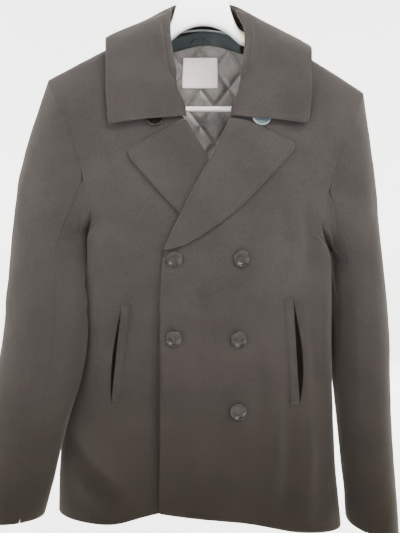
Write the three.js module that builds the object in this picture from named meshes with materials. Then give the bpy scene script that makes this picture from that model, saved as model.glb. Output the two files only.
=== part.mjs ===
// A double-breasted pea coat of charcoal melton wool on a thick white hanger.
// Millimetres, +Z up. The front faces -Y, and the coat's left side, as worn, is at +X.
// The origin is the inner top of the hanger's hook, where it hangs on a rail.

import * as THREE from 'three';

// Thickness of each cloth, and the gap between pieces at a seam
const MELTON = 3;
const DOUBLED = 4;
const LINING = 1.2;
const SEAM = 0.4;

// The trunk: its middle, half-width and depths before and behind, by height
const TRUNK = [
  { z: -930, middle: -12, half: 215, front: 104, back: 98 },
  { z: -830, middle: -16, half: 209, front: 102, back: 94 },
  { z: -740, middle: -14, half: 203, front: 100, back: 88 },
  { z: -600, middle: -8, half: 196, front: 98, back: 82 },
  { z: -476, middle: 0, half: 190, front: 95, back: 88 },
  { z: -430, middle: 0, half: 206, front: 93, back: 91 },
  { z: -380, middle: 0, half: 240, front: 90, back: 92 },
  { z: -320, middle: 0, half: 300, front: 85, back: 91 },
  { z: -250, middle: 0, half: 380, front: 76, back: 84 },
  { z: -120, middle: 0, half: 430, front: 56, back: 70 },
];
const SQUARENESS = 2.6;      // 2 would make the trunk an oval, more makes it boxier
const SHOULDER_ROUND = 80;   // height over which the shoulders round off

// The line of the shoulders from sleeve to sleeve
const SHOULDERS = [
  { x: -260, z: -262 },
  { x: -241, z: -250 },
  { x: -150, z: -200 },
  { x: -84, z: -164 },
  { x: 0, z: -126 },
  { x: 84, z: -168 },
  { x: 150, z: -213 },
  { x: 235, z: -270 },
  { x: 252, z: -284 },
];
const NECK_HALF = 84;        // from the middle to the neck end of a shoulder seam
const NECK_DIP = 22;         // how far the back neck lies below the line of the shoulders

// The armhole from the shoulder's tip to the underarm: its fall, and how far it comes in
const ARMHOLE = [
  { part: 0, fall: 0, inward: 0 },
  { part: 0.12, fall: 18, inward: 11 },
  { part: 0.27, fall: 50, inward: 27 },
  { part: 0.47, fall: 100, inward: 46 },
  { part: 0.66, fall: 150, inward: 60 },
  { part: 0.84, fall: 200, inward: 69 },
  { part: 0.93, fall: 228, inward: 67 },
  { part: 1, fall: 243, inward: 50 },
];
const ARMHOLE_START = 0.56;  // share of a side edge that is side seam

// Hem height across the coat, for the back and each front
const HEM_BACK = [{ x: -230, z: -897 }, { x: 0, z: -908 }, { x: 206, z: -920 }];
const HEM_RIGHT = [
  { x: -230, z: -897 },
  { x: -109, z: -896 },
  { x: -92, z: -883 },
  { x: -70, z: -873 },
  { x: 72, z: -874 },
];
const HEM_LEFT = [
  { x: -70, z: -876 },
  { x: -12, z: -884 },
  { x: 60, z: -889 },
  { x: 115, z: -905 },
  { x: 206, z: -920 },
];

// Front edges from hem to neck: straight closure, roll line, then the neck seam
const EDGE_LEFT = [
  { part: 0, x: -68, z: -876 },
  { part: 0.25, x: -66, z: -740 },
  { part: 0.5, x: -67, z: -560 },
  { part: 0.54, x: -65, z: -525 },
  { part: 0.62, x: -47, z: -485 },
  { part: 0.7, x: -20, z: -430 },
  { part: 0.78, x: 10, z: -375 },
  { part: 0.84, x: 34, z: -325 },
  { part: 0.9, x: 55, z: -270 },
  { part: 0.96, x: 76, z: -204 },
  { part: 1, x: 84, z: -168 },
];
const EDGE_RIGHT = [
  { part: 0, x: 68, z: -874 },
  { part: 0.25, x: 68, z: -740 },
  { part: 0.5, x: 67, z: -560 },
  { part: 0.54, x: 62, z: -528 },
  { part: 0.62, x: 42, z: -480 },
  { part: 0.7, x: 18, z: -425 },
  { part: 0.78, x: -10, z: -368 },
  { part: 0.84, x: -38, z: -323 },
  { part: 0.9, x: -57, z: -270 },
  { part: 0.96, x: -76, z: -202 },
  { part: 1, x: -84, z: -164 },
];
const UNDERLAP = 5.4;        // how far the right front sinks below the left one
const UNDERLAP_LAPEL = 11;   // the same where its lapel lies between them

// Lapels: the top edge at the gorge, the roll line and the outer edge down to the closure
const LAPEL_LEFT = {
  gorge: [{ part: 0, x: 34, z: -327 }, { part: 0.25, x: 50, z: -327 }, { part: 1, x: 122, z: -361 }],
  roll: [{ part: 0, x: 34, z: -327 }, { part: 0.5, x: -16, z: -423 }, { part: 1, x: -63, z: -512 }],
  outer: [
    { part: 0, x: 122, z: -361 },
    { part: 0.08, x: 119, z: -373 },
    { part: 0.5, x: 44, z: -453 },
    { part: 0.8, x: -8, z: -491 },
    { part: 1, x: -36, z: -506 },
  ],
};
const LAPEL_RIGHT = {
  gorge: [{ part: 0, x: -38, z: -327 }, { part: 0.25, x: -55, z: -339 }, { part: 1, x: -114, z: -369 }],
  roll: [{ part: 0, x: -38, z: -327 }, { part: 0.5, x: -16, z: -360 }, { part: 1, x: 14, z: -412 }],
  outer: [
    { part: 0, x: -114, z: -369 },
    { part: 0.1, x: -111, z: -381 },
    { part: 0.5, x: -63, z: -436 },
    { part: 0.8, x: -30, z: -470 },
    { part: 1, x: -8, z: -490 },
  ],
};
const LAPEL_LIFT = 1.6;      // gap under a lapel
const ROLL = 4.6;            // how far a roll edge stands past the front's own edge

// The collar from its front end to the middle of the back, for one side. The seam and the
// outer edge are places on the trunk (fall is measured below the line of the shoulders),
// and the fold is a place in space. The other side mirrors it.
const COLLAR = [
  { part: 0, seamX: 38, seamFall: 170, foldX: 33, foldY: -90, foldZ: -321,
    edgeX: 139, edgeFall: 128, lift: 7 },
  { part: 0.12, seamX: 54, seamFall: 120, foldX: 42, foldY: -84, foldZ: -282,
    edgeX: 144, edgeFall: 88, lift: 7 },
  { part: 0.25, seamX: 66, seamFall: 74, foldX: 51, foldY: -70, foldZ: -245,
    edgeX: 144, edgeFall: 56, lift: 7 },
  { part: 0.36, seamX: 78, seamFall: 32, foldX: 56, foldY: -56, foldZ: -212,
    edgeX: 145, edgeFall: 26, lift: 8 },
  { part: 0.46, seamX: 83, seamFall: 8, foldX: 55, foldY: -36, foldZ: -178,
    edgeX: 147, edgeFall: 6, lift: 9 },
  { part: 0.58, seamX: 84, seamFall: 0, foldX: 47, foldY: 8, foldZ: -133,
    edgeX: 147, edgeFall: 0, lift: 9 },
  { part: 0.72, seamX: 66, seamFall: -8, foldX: 38, foldY: 36, foldZ: -117,
    edgeX: 122, edgeFall: -16, lift: 8 },
  { part: 0.86, seamX: 34, seamFall: -18, foldX: 21, foldY: 54, foldZ: -112,
    edgeX: 66, edgeFall: -62, lift: 6 },
  { part: 1, seamX: 0, seamFall: -22, foldX: 0, foldY: 60, foldZ: -110,
    edgeX: 0, edgeFall: -98, lift: 5 },
];
const COLLAR_CLOTH = 3.6;
const COLLAR_FOLD = 5.5;     // radius of the fold
const COLLAR_REST = 3;        // least gap under the leaf
const COLLAR_BELLY = 7;      // how far the leaf bellies out between fold and edge
const COLLAR_LEAN = 7;       // the top of the collar leans to the coat's right
const COLLAR_DROP = 13;      // its right front corner hangs lower than its left one

// Sleeves below the armhole: outer and inner fall from the shoulder's tip, how far the middle
// lies out from the tip, its place ahead of it, half-axes, and the turn of the oval
const SLEEVE_RIGHT = [
  { outer: 120, inner: 264, out: -9, ahead: 0, wide: 50, deep: 61, turn: 8 },
  { outer: 195, inner: 292, out: -6, ahead: -14, wide: 58, deep: 55, turn: 18 },
  { outer: 280, inner: 330, out: -9, ahead: -38, wide: 69, deep: 46, turn: 24 },
  { outer: 360, inner: 385, out: -7, ahead: -48, wide: 72, deep: 42, turn: 25 },
  { outer: 440, inner: 450, out: 4, ahead: -52, wide: 73, deep: 41, turn: 25 },
  { outer: 510, inner: 512, out: 22, ahead: -52, wide: 64, deep: 41, turn: 20 },
  { outer: 575, inner: 575, out: 32, ahead: -50, wide: 59, deep: 40, turn: 16 },
  { outer: 652, inner: 644, out: 44, ahead: -48, wide: 48, deep: 38, turn: 12 },
];
const SLEEVE_LEFT = [
  { outer: 120, inner: 264, out: -15, ahead: 0, wide: 34, deep: 64, turn: 0 },
  { outer: 195, inner: 292, out: -12, ahead: -3, wide: 36, deep: 64, turn: 3 },
  { outer: 280, inner: 330, out: -8, ahead: -8, wide: 38, deep: 65, turn: 5 },
  { outer: 360, inner: 385, out: -5, ahead: -14, wide: 41, deep: 65, turn: 6 },
  { outer: 440, inner: 450, out: -5, ahead: -18, wide: 41, deep: 63, turn: 6 },
  { outer: 520, inner: 516, out: -1, ahead: -22, wide: 39, deep: 59, turn: 6 },
  { outer: 590, inner: 576, out: 6, ahead: -25, wide: 38, deep: 55, turn: 6 },
  { outer: 662, inner: 640, out: 9, ahead: -28, wide: 40, deep: 51, turn: 6 },
];
const SLEEVE_CLEARANCE = 2;  // between a sleeve and the trunk that it hangs against
const SOFTNESS = 0.08;       // how gently a sleeve begins to follow the trunk

// The largest soft folds: a negative rise is a trough. Lean turns a fold away from upright.
const FOLDS = [
  { side: -1, x: -138, z: -850, run: 62, spread: 15, rise: -7, lean: 48 },
  { side: -1, x: -120, z: -815, run: 70, spread: 17, rise: 5, lean: 48 },
  { side: -1, x: 84, z: -745, run: 95, spread: 13, rise: 5, lean: 4 },
  { side: -1, x: 104, z: -800, run: 60, spread: 12, rise: -4, lean: 2 },
  { side: -1, x: 134, z: -810, run: 75, spread: 15, rise: 4, lean: -4 },
  { side: -1, x: -100, z: -620, run: 110, spread: 18, rise: 3, lean: 5 },
  { side: 1, x: -78, z: -760, run: 120, spread: 22, rise: 6, lean: -5 },
  { side: 1, x: -36, z: -770, run: 110, spread: 16, rise: -5, lean: -3 },
  { side: 1, x: 70, z: -780, run: 115, spread: 20, rise: 6, lean: 5 },
  { side: 1, x: 110, z: -740, run: 90, spread: 15, rise: -5, lean: 4 },
  { side: 1, x: -60, z: -400, run: 55, spread: 20, rise: -4, lean: 35 },
  { side: 1, x: 62, z: -410, run: 50, spread: 18, rise: -4, lean: -38 },
];

const QUILT = { spacing: 48, puff: 3.2 };
const LINING_FOOT = -520;
const NECK_BAND = 21;
const BACK_MIDDLE = -12;
const LABEL = { wide: 58, tall: 50, x: -12, z: -214 };

// Buttons
const FRONT_BUTTONS = [
  { name: 'button_1', x: -47, z: -524 },
  { name: 'button_2', x: 46, z: -523 },
  { name: 'button_3', x: -48, z: -634 },
  { name: 'button_4', x: 42, z: -635 },
  { name: 'button_5', x: 41, z: -735 },
];
const BUTTON_SEAT = 0.6;
const BUTTON = { radius: 12, thick: 3.4, dish: 1.1 };
const COLLAR_BUTTON = { radius: 13.5, thick: 2.6, dish: 0.6, x: 75, z: -323 };
const SIDE_BUTTON = { x: 186, z: -815 };

// Pocket welts, from the top of the slit to its foot
const WELTS = [
  { name: 'pocket_welt_right', top: { x: -116, z: -588 }, foot: { x: -130, z: -724 }, wide: 12 },
  { name: 'pocket_welt_left', top: { x: 112, z: -580 }, foot: { x: 121, z: -728 }, wide: 13 },
];

const WELT_LIFT = 0.9;

// Hanger
const HANGER = { reach: 204, thick: 20, half: 12, halfAtTip: 24, lean: 7, under: -163, arch: 54, rise: 26 };
const HANGER_NECK = [
  { x: 0, z: -96 },
  { x: 31, z: -98 },
  { x: 38, z: -112 },
  { x: 41, z: -132 },
  { x: 45, z: -160 },
  { x: 60, z: -173 },
  { x: 90, z: -178 },
  { x: 118, z: -176 },
  { x: 140, z: -160 },
];
const ARM_CLEARANCE = 6.3;   // from the shoulder's line down to the hanger, cloth included
const BAR = { radius: 4.5, z: -292, half: 184, bend: 16 };
const HOOK = { wire: 2, radius: 26, rise: -95.6 };

const melton = ['#56524d', 0.95];
const meltonDark = ['#4d4943', 0.95];
const looks = {
  back_left: melton, back_right: melton, front_left: melton, front_right: melton,
  sleeve: meltonDark, collar: melton, lapel: meltonDark, lining: ['#77716d', 0.4],
  band: ['#3a4142', 0.7], label: ['#e0d8d6', 0.6], button: ['#2c2724', 0.25],
  plastic: ['#ece9e4', 0.3], bar: ['#cfcac6', 0.35], metal: ['#c9cbcd', 0.25],
};

const clamp = (value, low, high) => Math.min(Math.max(value, low), high);
const mix = (a, b, share) => a + (b - a) * share;
const ease = (low, high, value) => {
  const t = clamp((value - low) / (high - low), 0, 1);
  return t * t * (3 - 2 * t);
};

// A smooth curve through one column of a table, read by another of its columns
function track(rows, by, column) {
  const at = rows.map((row) => row[by]);
  const value = rows.map((row) => row[column]);
  const slope = value.map((_, i) => {
    const before = Math.max(i - 1, 0);
    const after = Math.min(i + 1, at.length - 1);
    return (value[after] - value[before]) / (at[after] - at[before]);
  });
  return (place) => {
    let i = 0;
    while (i < at.length - 2 && place > at[i + 1]) i += 1;
    const span = at[i + 1] - at[i];
    const t = clamp((place - at[i]) / span, 0, 1);
    const s = t * t * (3 - 2 * t);
    const lead = span * slope[i] * t * (1 - t) * (1 - t);
    const trail = span * slope[i + 1] * t * t * (1 - t);
    return mix(value[i], value[i + 1], s) + lead - trail;
  };
}

// The same without rounding at the rows
function straight(rows, by, column) {
  return (place) => {
    let i = 0;
    while (i < rows.length - 2 && place > rows[i + 1][by]) i += 1;
    const t = clamp((place - rows[i][by]) / (rows[i + 1][by] - rows[i][by]), 0, 1);
    return mix(rows[i][column], rows[i + 1][column], t);
  };
}

const middleAt = track(TRUNK, 'z', 'middle');
const halfAt = track(TRUNK, 'z', 'half');
const frontAt = track(TRUNK, 'z', 'front');
const backAt = track(TRUNK, 'z', 'back');
const shoulderAt = track(SHOULDERS, 'x', 'z');
const neckAt = track(HANGER_NECK, 'x', 'z');

// How much of the full depth is left at a place, as a power: 0 on the trunk's outline
function room(x, z) {
  const across = Math.abs(x - middleAt(z)) / halfAt(z);
  const rise = Math.max(0, 1 - (shoulderAt(x) - z) / SHOULDER_ROUND);
  return (1 - across ** SQUARENESS) * (1 - rise * rise);
}

// Zero on the trunk's surface and positive outside it
function level(x, y, z) {
  const depth = y < 0 ? frontAt(z) : backAt(z);
  return (Math.abs(y) / depth) ** SQUARENESS - room(x, z);
}

function facing(x, y, z) {
  const step = 0.02;
  return new THREE.Vector3(
    level(x + step, y, z) - level(x - step, y, z),
    level(x, y + step, z) - level(x, y - step, z),
    level(x, y, z + step) - level(x, y, z - step),
  ).normalize();
}

// Moves a point off the trunk until it is at least a height above its surface
function offTrunk(point, height) {
  const moved = point.clone();
  for (let i = 0; i < 6; i += 1) {
    const out = facing(moved.x, moved.y, moved.z);
    const step = 0.5;
    const ahead = moved.clone().addScaledVector(out, step);
    const slope = (level(ahead.x, ahead.y, ahead.z) - level(moved.x, moved.y, moved.z)) / step;
    const above = level(moved.x, moved.y, moved.z) / slope;
    if (above >= height) return moved;
    moved.addScaledVector(out, Math.min(height - above, 6));
  }
  return moved;
}

function folds(x, z, side) {
  let rise = 0;
  for (const fold of FOLDS) {
    if (fold.side !== side) continue;
    const lean = THREE.MathUtils.degToRad(fold.lean);
    const dx = x - fold.x;
    const dz = z - fold.z;
    const across = (dx * Math.cos(lean) + dz * Math.sin(lean)) / fold.spread;
    const along = (dz * Math.cos(lean) - dx * Math.sin(lean)) / fold.run;
    rise += fold.rise * Math.exp(-across * across - along * along);
  }
  return rise;
}

// Nearer the line of the shoulders than this, a point lies on it
const ON_LINE = 0.6;

// A point over the trunk's front (side -1) or back (side 1), a height off its surface
function skin(x, z, side, height) {
  const line = shoulderAt(x);
  const low = line - z < ON_LINE ? line : z;
  const depth = side < 0 ? frontAt(low) : backAt(low);
  const y = side * Math.max(depth * Math.max(room(x, low), 0) ** (1 / SQUARENESS), 0.25);
  const lift = height + folds(x, low, side);
  return new THREE.Vector3(x, y, low).addScaledVector(facing(x, y, low), lift);
}

// How far the right front and lapel sink to pass under the left ones
function sink(x, z) {
  const edge = edgePoint(EDGE_LEFT, clamp(partAt(z), 0, 1)).x - ROLL;
  const depth = mix(UNDERLAP, UNDERLAP_LAPEL, ease(-560, -512, z));
  return depth * ease(-84, -8, x - edge);
}

const partAt = straight(EDGE_LEFT, 'z', 'part');

function edgePoint(rows, part) {
  return { x: straight(rows, 'part', 'x')(part), z: straight(rows, 'part', 'z')(part) };
}

// A patch between four edges, each a function from 0 to 1 to a place { x, z }
function patch(bottom, top, start, end) {
  const corner = [bottom(0), bottom(1), top(0), top(1)];
  return (u, v) => {
    const place = {};
    const edges = [bottom(u), top(u), start(v), end(v)];
    for (const axis of ['x', 'z']) {
      const ruled = mix(edges[0][axis], edges[1][axis], v) + mix(edges[2][axis], edges[3][axis], u);
      const low = mix(corner[0][axis], corner[1][axis], u);
      const high = mix(corner[2][axis], corner[3][axis], u);
      place[axis] = ruled - mix(low, high, v);
    }
    return place;
  };
}

function material(look) {
  return new THREE.MeshStandardMaterial({ color: look[0], roughness: look[1], metalness: 0 });
}

function solid(name, points, faces, look) {
  let volume = 0;
  for (const [a, b, c] of faces) {
    volume += points[a].dot(new THREE.Vector3().crossVectors(points[b], points[c]));
  }
  const index = faces.flatMap(([a, b, c]) => (volume < 0 ? [a, c, b] : [a, b, c]));
  const geometry = new THREE.BufferGeometry();
  geometry.setAttribute('position', new THREE.Float32BufferAttribute(points.flatMap((p) => p.toArray()), 3));
  geometry.setIndex(index);
  geometry.computeVertexNormals();
  const mesh = new THREE.Mesh(geometry, material(look));
  mesh.name = name;
  return mesh;
}

// A closed wall over a grid. spot(u, v) gives its outer and inner point.
function wall(name, across, along, spot, look) {
  const points = [];
  for (const v of along) {
    for (const u of across) points.push(...spot(u, v));
  }
  const at = (i, j, inner) => (j * across.length + i) * 2 + inner;
  const faces = [];
  const quad = (a, b, c, d) => faces.push([a, b, c], [a, c, d]);
  const columns = across.length - 1;
  const rows = along.length - 1;
  for (let j = 0; j < rows; j += 1) {
    for (let i = 0; i < columns; i += 1) {
      quad(at(i, j, 0), at(i + 1, j, 0), at(i + 1, j + 1, 0), at(i, j + 1, 0));
      quad(at(i, j, 1), at(i, j + 1, 1), at(i + 1, j + 1, 1), at(i + 1, j, 1));
    }
  }
  for (let i = 0; i < columns; i += 1) {
    quad(at(i, 0, 0), at(i, 0, 1), at(i + 1, 0, 1), at(i + 1, 0, 0));
    quad(at(i, rows, 0), at(i + 1, rows, 0), at(i + 1, rows, 1), at(i, rows, 1));
  }
  for (let j = 0; j < rows; j += 1) {
    quad(at(0, j, 0), at(0, j + 1, 0), at(0, j + 1, 1), at(0, j, 1));
    quad(at(columns, j, 0), at(columns, j, 1), at(columns, j + 1, 1), at(columns, j + 1, 0));
  }
  return solid(name, points, faces, look);
}

const steps = (count) => Array.from({ length: count + 1 }, (_, i) => i / count);

const TIP_RIGHT = -241.5;
const TIP_LEFT = 234.5;
const tip = (hand) => {
  const x = hand < 0 ? TIP_RIGHT : TIP_LEFT;
  return { x, z: shoulderAt(x) };
};
const fallAt = track(ARMHOLE, 'part', 'fall');
const inwardAt = track(ARMHOLE, 'part', 'inward');

// A place on the armhole, 0 at the shoulder's tip and 1 at the underarm
function armhole(hand, part) {
  const start = tip(hand);
  const z = start.z - fallAt(part);
  const seam = middleAt(z) + hand * halfAt(z);
  const x = mix(start.x - hand * inwardAt(part), seam, ease(0.94, 1, part));
  return { x, z: Math.min(z, shoulderAt(x)) };
}

// Side seam from the hem, then the armhole up to the shoulder's tip
function sideEdge(hand, hem) {
  const underarm = armhole(hand, 1).z;
  return (v) => {
    if (v > ARMHOLE_START) return armhole(hand, (1 - v) / (1 - ARMHOLE_START));
    const foot = hem(hand < 0 ? -230 : 206);
    const z = mix(foot, underarm, v / ARMHOLE_START);
    return { x: middleAt(z) + hand * halfAt(z), z };
  };
}

// Columns lie closer together where the trunk turns to its side seam
function crowd(u, v) {
  return u ** mix(2.5, 1.25, ease(0.45, 0.66, v));
}

const BODY_COLUMNS = [0, 0.1, 0.19, 0.28, 0.37, 0.46, 0.55, 0.64, 0.73, 0.81, 0.88, 0.94, 0.975, 1];
const BODY_ROWS = [0, 0.06, 0.13, 0.2, 0.27, 0.34, 0.41, 0.48, 0.54, 0.56, 0.62, 0.66, 0.7, 0.74, 0.78,
  0.84, 0.9, 0.96, 0.985, 1];

function frontPanel(name, hand, edgeRows, hemRows) {
  const hem = straight(hemRows, 'x', 'z');
  const side = sideEdge(hand, hem);
  const edge = (v) => edgePoint(edgeRows, v);
  const bottom = (u) => {
    const x = mix(side(0).x, edge(0).x, u);
    return { x, z: hem(x) };
  };
  const top = (u) => {
    const x = mix(side(1).x, edge(1).x, u);
    return { x, z: shoulderAt(x) };
  };
  const lay = patch(bottom, top, side, edge);
  const spot = (u, v) => {
    const place = lay(crowd(u, v), v);
    const drop = hand < 0 ? sink(place.x, place.z) : 0;
    return [skin(place.x, place.z, -1, -drop), skin(place.x, place.z, -1, -drop - MELTON)];
  };
  return wall(name, BODY_COLUMNS, BODY_ROWS, spot, looks[name]);
}

function backNeck(x) {
  const from = clamp(Math.abs(x) / NECK_HALF, 0, 1);
  return shoulderAt(x) - NECK_DIP * (1 - from * from);
}

function backPanel(name, hand) {
  const hem = straight(HEM_BACK, 'x', 'z');
  const side = sideEdge(hand, hem);
  const middle = (v) => {
    const z = mix(hem(BACK_MIDDLE), backNeck(BACK_MIDDLE), v);
    return { x: BACK_MIDDLE + hand * SEAM / 2, z };
  };
  const bottom = (u) => {
    const x = mix(side(0).x, middle(0).x, u);
    return { x, z: hem(x) };
  };
  const top = (u) => {
    const x = mix(side(1).x, middle(1).x, u);
    return { x, z: backNeck(x) };
  };
  const lay = patch(bottom, top, side, middle);
  const spot = (u, v) => {
    const place = lay(crowd(u, v), v);
    return [skin(place.x, place.z, 1, 0), skin(place.x, place.z, 1, -MELTON)];
  };
  return wall(name, steps(11), BODY_ROWS, spot, looks[name]);
}

// A lapel: doubled cloth that curls round the front's edge at the roll line
function lapel(name, hand, shape, edgeRows) {
  const edge = (rows) => (t) => ({ x: straight(rows, 'part', 'x')(t), z: straight(rows, 'part', 'z')(t) });
  const closing = (u) => ({
    x: mix(edge(shape.roll)(1).x, edge(shape.outer)(1).x, u),
    z: mix(edge(shape.roll)(1).z, edge(shape.outer)(1).z, u),
  });
  const lay = patch(edge(shape.gorge), closing, edge(shape.roll), edge(shape.outer));
  const under = hand < 0 ? sink : () => 0;
  const rolled = straight(edgeRows, 'z', 'x');
  const curl = [
    { over: -ROLL, outer: -3, inner: -3, inset: 3.6 },
    { over: -ROLL, outer: 1.6, inner: 0.4, inset: 3.6 },
    { over: -ROLL + 2, outer: 5, inner: LAPEL_LIFT, inset: 2.2 },
  ];
  const at = (x, z, height) => skin(x, z, -1, height - under(x, z));
  const spot = (u, v) => {
    const place = lay(Math.max(u, 0), v);
    if (u > 0) {
      const soft = 1.4 * Math.exp(-u / 0.12);
      return [at(place.x, place.z, LAPEL_LIFT + DOUBLED + soft), at(place.x, place.z, LAPEL_LIFT)];
    }
    const bend = curl[Math.round((u + 0.3) * 10)];
    const x = rolled(place.z) + hand * bend.over;
    return [at(x, place.z, bend.outer), at(x + hand * bend.inset, place.z, bend.inner)];
  };
  const across = [-0.3, -0.2, -0.1, 0.05, 0.14, 0.3, 0.5, 0.7, 0.86, 0.95, 1];
  return wall(name, across, steps(11), spot, looks.lapel);
}

// Below the shoulders the trunk is a plain ring: this moves a point out of it
function clearOfTrunk(point) {
  const height = Math.min(point.z, -476);
  const middle = middleAt(height);
  const depth = point.y < 0 ? frontAt(height) : backAt(height);
  const across = Math.abs(point.x - middle) / (halfAt(height) + SLEEVE_CLEARANCE);
  const ahead = Math.abs(point.y) / (depth + SLEEVE_CLEARANCE);
  const share = (across ** SQUARENESS + ahead ** SQUARENESS) ** (1 / SQUARENESS);
  if (share >= 1 + SOFTNESS) return point;
  const eased = 1 + Math.max(share - 1 + SOFTNESS, 0) ** 2 / (4 * SOFTNESS);
  const scale = eased / share;
  return new THREE.Vector3(middle + (point.x - middle) * scale, point.y * scale, point.z);
}

// A meridian of the sleeve: from a place on the armhole to the cuff, at an angle round the tube
function meridian(hand, rows, ringDegrees, degrees) {
  const start = tip(hand);
  const angle = THREE.MathUtils.degToRad(degrees);
  const ring = (ringDegrees + 360) % 360;
  const part = (ring <= 180 ? ring : 360 - ring) / 180;
  const place = armhole(hand, part);
  const away = { x: place.x + hand * SEAM, z: place.z - 2 * SEAM * ease(0.7, 1, part) };
  const side = ring <= 180 ? -1 : 1;
  const head = skin(away.x, away.z, side, 0);
  const lining = skin(away.x, away.z, side, -MELTON);
  const points = [head];
  for (const row of rows) {
    const turn = THREE.MathUtils.degToRad(row.turn);
    const along = row.wide * Math.cos(angle);
    const aside = row.deep * Math.sin(angle);
    const outward = along * Math.cos(turn) + aside * Math.sin(turn);
    const forward = aside * Math.cos(turn) - along * Math.sin(turn);
    const fall = mix(row.outer, row.inner, (1 - Math.cos(angle)) / 2);
    points.push(new THREE.Vector3(start.x + hand * (row.out + outward), row.ahead - forward, start.z - fall));
  }
  return { curve: new THREE.CatmullRomCurve3(points, false, 'centripetal'), lining };
}

// Where the rows of a body panel meet the armhole, in degrees round from the shoulder's tip
const ARMHOLE_STOPS = BODY_ROWS.filter((v) => v >= ARMHOLE_START)
  .map((v) => ((1 - v) / (1 - ARMHOLE_START)) * 180)
  .reverse();
const SLEEVE_SEAM = ARMHOLE_STOPS[7];

// One piece of a sleeve. Its columns start where the body's rows end, and even out below.
function sleevePiece(name, hand, rows, ringStops) {
  const trim = 0.36;
  const last = ringStops.length - 1;
  const from = ringStops[0];
  const to = ringStops[last];
  const outerAt = (u, v, turn) => {
    const i = Math.round(u * last);
    const edge = trim * ((i === 0) - (i === last));
    const even = mix(from, to, u) + edge + turn;
    const curve = meridian(hand, rows, ringStops[i] + edge + turn, even).curve;
    const point = curve.getPoint(v);
    return v > 0.001 ? clearOfTrunk(point) : point;
  };
  const spot = (u, v) => {
    const outer = outerAt(u, v, 0);
    if (v === 0) {
      const i = Math.round(u * last);
      const edge = trim * ((i === 0) - (i === last));
      return [outer, meridian(hand, rows, ringStops[i] + edge, 0).lining];
    }
    const round = outerAt(u, v, 2).sub(outerAt(u, v, -2));
    const down = outerAt(u, Math.min(v + 0.01, 1), 0).sub(outerAt(u, v - 0.01, 0));
    const out = new THREE.Vector3().crossVectors(round, down).multiplyScalar(hand).normalize();
    return [outer, outer.clone().addScaledVector(out, -MELTON)];
  };
  const along = [0, 0.035, 0.08, 0.125, 0.19, 0.25, 0.32, 0.4, 0.5, 0.6, 0.7, 0.8, 0.9, 1];
  return wall(name, steps(last), along, spot, looks.sleeve);
}

// The collar: one strip from the neck seam up, over the fold and down to its outer edge
function collar() {
  const column = (key) => track(COLLAR, 'part', key);
  const get = {};
  for (const key of Object.keys(COLLAR[0])) get[key] = column(key);
  const place = (x, fall, height) => {
    const z = shoulderAt(x) - Math.abs(fall);
    return skin(x, z, fall < 0 ? 1 : -1, height);
  };
  const foldPoint = (s) => {
    const part = 1 - Math.abs(s);
    const hand = Math.sign(s) || 1;
    const z = get.foldZ(part);
    const lean = COLLAR_LEAN * ease(-215, -125, z);
    return new THREE.Vector3(hand * get.foldX(part) - lean, get.foldY(part), z);
  };
  const section = (s) => {
    const part = 1 - Math.abs(s);
    const hand = Math.sign(s) || 1;
    const drop = hand < 0 ? COLLAR_DROP * (1 - ease(0, 0.25, part)) : 0;
    const seam = place(hand * get.seamX(part), get.seamFall(part), 0);
    const edge = place(hand * get.edgeX(part), get.edgeFall(part) + drop, get.lift(part) + DOUBLED);
    const fold = foldPoint(s);
    const along = foldPoint(Math.min(s + 0.02, 1)).sub(foldPoint(Math.max(s - 0.02, -1))).normalize();
    const up = fold.clone().sub(seam);
    up.addScaledVector(along, -up.dot(along)).normalize();
    const out = new THREE.Vector3().crossVectors(along, up).normalize();
    if (out.dot(edge.clone().sub(fold)) < 0) out.negate();
    const heart = fold.clone().addScaledVector(up, -COLLAR_FOLD);
    const ring = (degrees) => {
      const angle = THREE.MathUtils.degToRad(degrees);
      const rise = COLLAR_FOLD * Math.sin(angle);
      return heart.clone().addScaledVector(up, rise).addScaledVector(out, -COLLAR_FOLD * Math.cos(angle));
    };
    const start = ring(0);
    const end = ring(180);
    const belly = end.clone().lerp(edge, 0.5);
    belly.addScaledVector(facing(belly.x, belly.y, belly.z), COLLAR_BELLY * 2);
    const leaf = new THREE.QuadraticBezierCurve3(end, belly, edge);
    const inner = seam.clone().addScaledVector(up, 2);
    return { inner, start, ring, leaf };
  };
  const bends = [60, 120];
  const leafParts = [0, 0.16, 0.36, 0.58, 0.8, 1];
  const strip = (s) => {
    const cut = section(s);
    return [
      cut.inner,
      cut.inner.clone().lerp(cut.start, 0.5),
      cut.start,
      ...bends.map((degrees) => cut.ring(degrees)),
      ...leafParts.map((t) => offTrunk(cut.leaf.getPoint(t), COLLAR_CLOTH + COLLAR_REST)),
    ];
  };
  const count = 5 + leafParts.length;
  const shared = new Map();
  const stripAt = (s) => {
    const key = s.toFixed(5);
    if (!shared.has(key)) shared.set(key, strip(s));
    return shared.get(key);
  };
  const spot = (u, v) => {
    const s = clamp(v * 2 - 1, -1, 1);
    const i = Math.round(u * (count - 1));
    const here = stripAt(s);
    const across = here[Math.min(i + 1, count - 1)].clone().sub(here[Math.max(i - 1, 0)]);
    const along = stripAt(Math.min(s + 0.03, 1))[i].clone().sub(stripAt(Math.max(s - 0.03, -1))[i]);
    const out = new THREE.Vector3().crossVectors(along, across).normalize();
    return [here[i], here[i].clone().addScaledVector(out, -COLLAR_CLOTH)];
  };
  return wall('collar', steps(count - 1), steps(30), spot, looks.collar);
}

// A strip that lies on the trunk between two heights off its surface
function onTrunk(name, side, lay, across, along, outer, inner, look) {
  const spot = (u, v) => {
    const place = lay(u, v);
    const high = typeof outer === 'function' ? outer(place.x, place.z, u, v) : outer;
    return [skin(place.x, place.z, side, high), skin(place.x, place.z, side, inner)];
  };
  return wall(name, across, along, spot, look);
}

const LINING_FACE = -MELTON - 2.6;

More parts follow.
